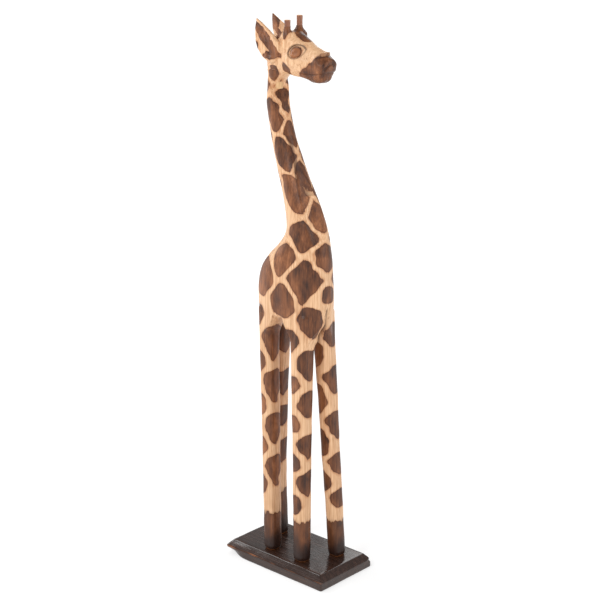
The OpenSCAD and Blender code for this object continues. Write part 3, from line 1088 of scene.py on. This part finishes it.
# inset from the outer faces and height, from the underside's middle round to the top's middle
BOARD_PROFILE = (
    [(66 - 6 * i, 0.0) for i in range(11)] + [(3.0, 0.0), (1.6, 0.15), (0.5, 0.8), (0.0, 2.0)]
    + [(0.0, 2.0 + 1.7 * i) for i in range(1, 8)] + [(0.1, 15.0), (0.5, 16.0), (1.2, 17.0)]
    + [(1.2 + 1.0 * i, 17.0 + 1.1 * i) for i in range(1, 8)]
    + [(9.0, 25.6), (9.7, 26.3), (10.6, 26.8), (12.0, 27.0)]
    + [(12.0 + 4.9 * i, 27.0) for i in range(1, 12)]
)
BOARD_CORNER = 3.0
CORNER_STEPS = 7
BOARD_SPACING = 1.8
SCREW_SIDES = 32


def rounded_rectangle(half_x, half_y, radius):
    """Points round a rectangle with rounded corners, centred on the origin."""
    corners = [(1, 1), (-1, 1), (-1, -1), (1, -1)]
    points = []
    for index, (sx, sy) in enumerate(corners):
        start = index * math.pi / 2
        middle = np.array([sx * (half_x - radius), sy * (half_y - radius)])
        for step in range(CORNER_STEPS):
            turn = start + step / (CORNER_STEPS - 1) * math.pi / 2
            points.append(middle + radius * np.array([math.cos(turn), math.sin(turn)]))
        nx, ny = corners[(index + 1) % 4]
        length = 2 * (half_x - radius) if sy == ny else 2 * (half_y - radius)
        count = int(length / BOARD_SPACING)
        a = points[-1]
        b = a + (np.array([nx, ny]) - [sx, sy]) / 2 * length
        points.extend(a + (b - a) * i / count for i in range(1, count))
    return np.array(points)


def board_points():
    """Rings of points from the underside's middle to the top's, and how many are in each."""
    lo, _, centre, half = span("base_board")
    outer = rounded_rectangle(half[0], half[1], BOARD_CORNER)
    rings = []
    for inset, z in BOARD_PROFILE:
        shrink = np.array([(half[0] - inset) / half[0], (half[1] - inset) / half[1]])
        ring = np.column_stack([centre[:2] + outer * shrink, np.full(len(outer), lo[2] + z)])
        rings.append(ring)
    return np.concatenate(rings), len(outer)


def outside_board(p):
    """How far points lie out from the board's outer faces, less than zero inside."""
    _, _, centre, half = span("base_board")
    gaps = np.abs(p - centre) - half
    return np.maximum(gaps[:, 0], gaps[:, 1])


def blob(p, centre, sizes, sharpness=1.0):
    """1 at a point, falling off to 0 within about twice the sizes."""
    return np.exp(-(((p - centre) / sizes) ** 2).sum(1) * sharpness)


def age_board(p):
    """Uneven planing, rounded arrises and worn corners."""
    lo, hi, centre, half = span("base_board")
    z = p[:, 2]
    out = outside_board(p)
    edge = ramp(out, -13, -8)
    inward = np.stack([centre[0] - p[:, 0], centre[1] - p[:, 1]], -1) / half[:2]
    inward = np.sign(inward) * np.abs(inward) ** 6
    push = edge * (0.35 + 0.35 * waves(p * [1, 1, 2.0], 55, 71) + 0.06 * waves(p, 14, 72))
    moved = p.copy()
    moved[:, :2] += inward * np.clip(push, 0, 1.6)[:, None]
    rounding = np.clip(0.3 + 0.35 * waves(p, 60, 74), 0, 1.2)
    moved[:, 2] -= ramp(out, -12.5, -8.5) * ramp(z, 20, 27) * rounding
    moved[:, 2] -= ramp(z, 24, 27) * (0.12 + 0.12 * waves(p, 45, 75))
    # the rear right corner is worn away underneath
    worn = blob(p, lo + [5, -1, 2], [26, 13, 11], 1.3)
    moved[:, 2] += worn * 7.5 * ramp(z, 14, 3)
    moved[:, :2] += (worn * 5.0 * ramp(z, 16, 6))[:, None]
    # the front left corner is dented half way up
    dent = blob(p, hi - [0, 0, 13], [7, 7, 2.6])
    moved[:, :2] += inward * 2.4 * dent[:, None]
    return moved


def screw_cutters():
    """Countersunk holes for the base screws, as one mesh of turned cutters."""
    bm = bmesh.new()
    turns = [i * 2 * math.pi / SCREW_SIDES for i in range(SCREW_SIDES)]
    for name in LEGS:
        lo, _, centre, half = span("base_screw_" + name.removeprefix("leg_"))
        head, shank, sunk = half[0] + 0.3, 2.5, lo[2] + 0.4
        profile = [(head, -3), (head, sunk), (shank, sunk + head - shank), (shank, BOARD_TOP + 3)]
        rings = []
        for radius, z in profile:
            ring = [(centre[0] + radius * math.cos(t), centre[1] + radius * math.sin(t), z) for t in turns]
            rings.append([bm.verts.new(Vector(place) * MM) for place in ring])
        for a, b in zip(rings[:-1], rings[1:]):
            for i in range(SCREW_SIDES):
                ahead = (i + 1) % SCREW_SIDES
                bm.faces.new((a[i], a[ahead], b[ahead], b[i]))
        bm.faces.new(rings[0][::-1])
        bm.faces.new(rings[-1])
    mesh = bpy.data.meshes.new("screw_cutters")
    bm.to_mesh(mesh)
    bm.free()
    return mesh


def drilled_board():
    points, around = board_points()
    mesh = build_mesh("board_blank", age_board(points), ring_quads(len(points) // around, around))
    close_rims(mesh, False)
    board = add_object("board_blank", mesh)
    cutter = add_object("screw_cutters", screw_cutters())
    drill = board.modifiers.new("drill", "BOOLEAN")
    drill.object, drill.operation, drill.solver = cutter, "DIFFERENCE", "EXACT"
    drilled = bpy.data.meshes.new_from_object(board.evaluated_get(bpy.context.evaluated_depsgraph_get()))
    for obj in (board, cutter):
        bpy.data.objects.remove(obj)
    drilled.name = "worn_base_board"
    drilled.set_sharp_from_angle(angle=math.radians(50))
    return drilled


def board_wear(p):
    """How bare the wood is: along the bevel's two edges, the foot and the worn corner."""
    lo, hi, _, _ = span("base_board")
    z, out = p[:, 2], outside_board(p)
    shoulder = notch(z - (hi[2] - BEVEL_DOWN), 2.4) * ramp(out, -4, -1)
    near_side = ramp(p[:, 1], lo[1] + 12, lo[1] + 2)
    brow = notch(np.hypot(out + BEVEL_OUT, z - hi[2]), 2.2)
    foot = ramp(z, 4, 1) * ramp(out, -4, -1)
    corner = blob(p, [lo[0] + 6, lo[1] + 3, 7], [20, 10, 8])
    wear_and_highlight = (0.2 + 0.2 * near_side) * shoulder + 0.15 * brow + 0.22 * foot + 0.6 * corner
    return np.clip(wear_and_highlight + 0.15 * shoulder * waves(p, 30, 73), 0, 1)


def make_board(material):
    drilled = drilled_board()
    paint(drilled, {"wear_and_highlight": board_wear(mesh_points(drilled))})
    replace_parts(piece("worn_base_board", drilled, material), "base_board")


def dress_cad_nodes():
    """Dowels and screws keep their CAD meshes and get finer materials."""
    dowel, screw = dowel_material(), screw_material()
    for name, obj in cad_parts.items():
        made = dowel if "dowel" in name else screw if "screw" in name else None
        if made:
            for slot in obj.material_slots:
                slot.material = made


# ---- studio
CAMERA_AZIMUTH = 42.529
CAMERA_PITCH = 16.285
CAMERA_BACK = 2.467658
CAMERA_ASIDE = 0.003802
CAMERA_HEIGHT = 1.225569
LENS = 87.0
# the white seen behind the floor's edge, and the dimmer one that lights the statue
SEEN_STRENGTH, LIT_STRENGTH = 1.02, 0.4
# each light's name, place, size and power
LIGHTS = [
    ("key", (0.2, -3.0, 2.5), (1.6, 1.6), 62), ("fill", (2.9, 0.6, 1.5), (1.4, 2.0), 30),
    ("rim", (-2.4, -0.8, 1.9), (1.0, 2.0), 36), ("back", (-1.0, 2.6, 2.0), (2.0, 1.6), 24),
]
LIGHT_AIM = (0, 0, 0.5)
FLOOR_REACH = 30.0


def make_camera():
    data = bpy.data.cameras.new("camera")
    data.lens = LENS
    data.sensor_width = 36.0
    data.clip_start, data.clip_end = 0.05, 100.0
    camera = add_object("camera", data)
    turn = math.radians(CAMERA_AZIMUTH)
    back = Vector((math.sin(turn), -math.cos(turn), 0))
    aside = Vector((math.cos(turn), math.sin(turn), 0))
    camera.location = back * CAMERA_BACK + aside * CAMERA_ASIDE + Vector((0, 0, CAMERA_HEIGHT))
    camera.rotation_euler = (math.radians(90 - CAMERA_PITCH), 0, turn)
    bpy.context.scene.camera = camera


def area_light(name, place, size, power):
    data = bpy.data.lights.new(name, "AREA")
    data.shape = "RECTANGLE"
    data.size, data.size_y = size
    data.energy = power
    lamp = add_object(name, data)
    lamp.location = place
    lamp.rotation_euler = (Vector(LIGHT_AIM) - Vector(place)).to_track_quat("-Z", "Y").to_euler()


def make_studio():
    world = bpy.data.worlds.new("studio")
    bpy.context.scene.world = world
    world.use_nodes = True
    tree = world.node_tree
    tree.nodes.clear()
    seen, lit = (tree.nodes.new("ShaderNodeBackground") for _ in range(2))
    for shade, strength in ((seen, SEEN_STRENGTH), (lit, LIT_STRENGTH)):
        shade.inputs["Color"].default_value = (1, 1, 1, 1)
        shade.inputs["Strength"].default_value = strength
    path = tree.nodes.new("ShaderNodeLightPath")
    mix = tree.nodes.new("ShaderNodeMixShader")
    out = tree.nodes.new("ShaderNodeOutputWorld")
    tree.links.new(path.outputs["Is Camera Ray"], mix.inputs["Fac"])
    tree.links.new(lit.outputs[0], mix.inputs[1])
    tree.links.new(seen.outputs[0], mix.inputs[2])
    tree.links.new(mix.outputs[0], out.inputs["Surface"])
    for light in LIGHTS:
        area_light(*light)
    floor_mesh = bpy.data.meshes.new("floor")
    corners = [(x * FLOOR_REACH, y * FLOOR_REACH, 0) for x, y in ((-1, -1), (1, -1), (1, 1), (-1, 1))]
    floor_mesh.from_pydata(corners, [], [(0, 1, 2, 3)])
    floor = add_object("floor", floor_mesh)
    g = Graph("floor_white")
    # the floor glows more the further it is from the statue
    spread = g.node("VectorMath", "Value", {0: g.place}, operation="LENGTH")
    g.put(g.shader, {
        "Base Color": (0.5, 0.5, 0.5, 1), "Roughness": 0.9, "Specular IOR Level": 0.0,
        "Emission Color": (1, 1, 1, 1), "Emission Strength": g.remap(spread, 0.3, 2.6, 0.58, 0.95),
    })
    floor_mesh.materials.append(g.material)
    bpy.context.scene.view_settings.view_transform = "Standard"


# ---- build
make_camera()
make_studio()
WOOD = carved_wood()
make_torso(WOOD)
for leg_name in LEGS:
    make_leg(leg_name, WOOD)
make_head(WOOD)
HORN_WOOD = horn_material()
for which in SIDES:
    make_ear(which, WOOD)
    make_horn(which, HORN_WOOD)
make_board(board_material())
dress_cad_nodes()
